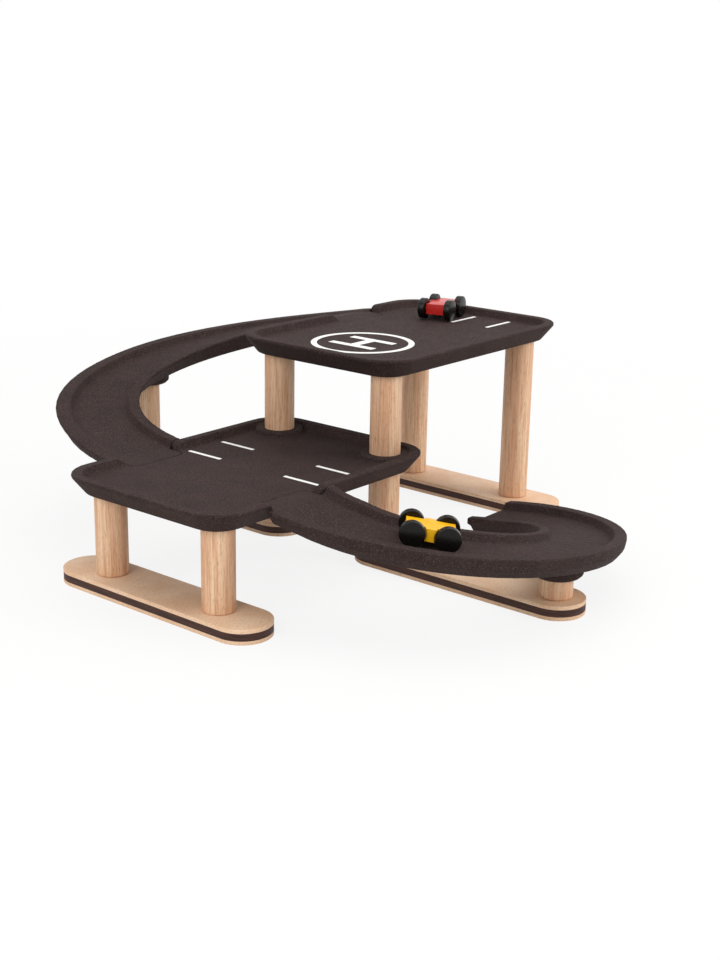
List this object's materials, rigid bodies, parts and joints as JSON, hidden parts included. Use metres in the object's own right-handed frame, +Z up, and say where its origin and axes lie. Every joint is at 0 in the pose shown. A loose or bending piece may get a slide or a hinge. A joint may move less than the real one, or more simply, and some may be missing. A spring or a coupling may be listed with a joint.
{
  "type": "toy parking garage",
  "caption": "Toy parking garage of dark moulded trays on round wooden posts, joined by curved ramps, with small painted cars whose wheels turn.",
  "frame": {"origin": "on the table, under the middle of the bounding box; the row of posts that both trays share is at Y 0", "axes": "+Z up, +Y towards the upper tray, +X along the bases from the upper ramp to the lower ramp"},
  "size_m": [0.5892, 0.488, 0.2066],
  "materials": {
    "composite": "dark moulded wood composite, matt and finely speckled",
    "post_wood": "light hardwood dowel, clear satin, upright grain",
    "board_wood": "light wood board, fine specks, satin",
    "core_wood": "dark brown core of the bases, matt",
    "pin_wood": "plain dowel, hidden",
    "wheel_black": "glossy black lacquer",
    "red_paint": "red satin lacquer",
    "yellow_paint": "yellow satin lacquer",
    "steel": "zinc-plated"
  },
  "bodies": {
    "garage": {"front_base_bottom_board": "board_wood", "front_base_core": "core_wood", "front_base_top_board": "board_wood", "front_left_post": "post_wood", "front_left_screw": "steel", "front_right_post": "post_wood", "front_right_screw": "steel", "left_base_bottom_board": "board_wood", "left_base_core": "core_wood", "left_base_top_board": "board_wood", "left_joining_pin": "pin_wood", "lower_left_post": "post_wood", "lower_left_screw": "steel", "lower_ramp": "composite", "lower_ramp_post": "post_wood", "lower_ramp_screw": "steel", "lower_right_post": "post_wood", "lower_right_screw": "steel", "mid_deck": "composite", "rear_base_bottom_board": "board_wood", "rear_base_core": "core_wood", "rear_base_top_board": "board_wood", "rear_left_post": "post_wood", "rear_left_screw": "steel", "rear_right_post": "post_wood", "rear_right_screw": "steel", "right_base_bottom_board": "board_wood", "right_base_core": "core_wood", "right_base_top_board": "board_wood", "right_joining_pin": "pin_wood", "upper_deck": "composite", "upper_left_post": "post_wood", "upper_ramp": "composite", "upper_ramp_post": "post_wood", "upper_ramp_screw": "steel", "upper_right_post": "post_wood"},
    "red_car": {"red_car_body": "red_paint"},
    "red_car_front_wheels": {"red_car_front_axle": "steel", "red_car_front_left_wheel": "wheel_black", "red_car_front_right_wheel": "wheel_black"},
    "red_car_rear_wheels": {"red_car_rear_axle": "steel", "red_car_rear_left_wheel": "wheel_black", "red_car_rear_right_wheel": "wheel_black"},
    "yellow_car": {"yellow_car_body": "yellow_paint"},
    "yellow_car_front_wheels": {"yellow_car_front_axle": "steel", "yellow_car_front_left_wheel": "wheel_black", "yellow_car_front_right_wheel": "wheel_black"},
    "yellow_car_rear_wheels": {"yellow_car_rear_axle": "steel", "yellow_car_rear_left_wheel": "wheel_black", "yellow_car_rear_right_wheel": "wheel_black"}
  },
  "joints": [
    {"name": "red_car_roll", "type": "slide", "parent": "garage", "child": "red_car", "axis": [0.2588, -0.9659, 0], "range_m": [-0.004, 0.185]},
    {"name": "red_car_front_spin", "type": "hinge", "parent": "red_car", "child": "red_car_front_wheels", "pos_m": [-0.02086, 0.18354, 0.1963], "axis": [0.9659, 0.2588, 0], "continuous": true},
    {"name": "red_car_rear_spin", "type": "hinge", "parent": "red_car", "child": "red_car_rear_wheels", "pos_m": [-0.02824, 0.21106, 0.1963], "axis": [0.9659, 0.2588, 0], "continuous": true},
    {"name": "yellow_car_roll", "type": "slide", "parent": "garage", "child": "yellow_car", "axis": [-0.7711, -0.6155, 0.163], "range_m": [-0.006, 0.006]},
    {"name": "yellow_car_front_spin", "type": "hinge", "parent": "yellow_car", "child": "yellow_car_front_wheels", "pos_m": [0.19586, -0.13325, 0.09456], "axis": [0.6231, -0.7822, -0.0063], "continuous": true},
    {"name": "yellow_car_rear_spin", "type": "hinge", "parent": "yellow_car", "child": "yellow_car_rear_wheels", "pos_m": [0.21784, -0.11571, 0.08991], "axis": [0.6231, -0.7822, -0.0063], "continuous": true}
  ]
}
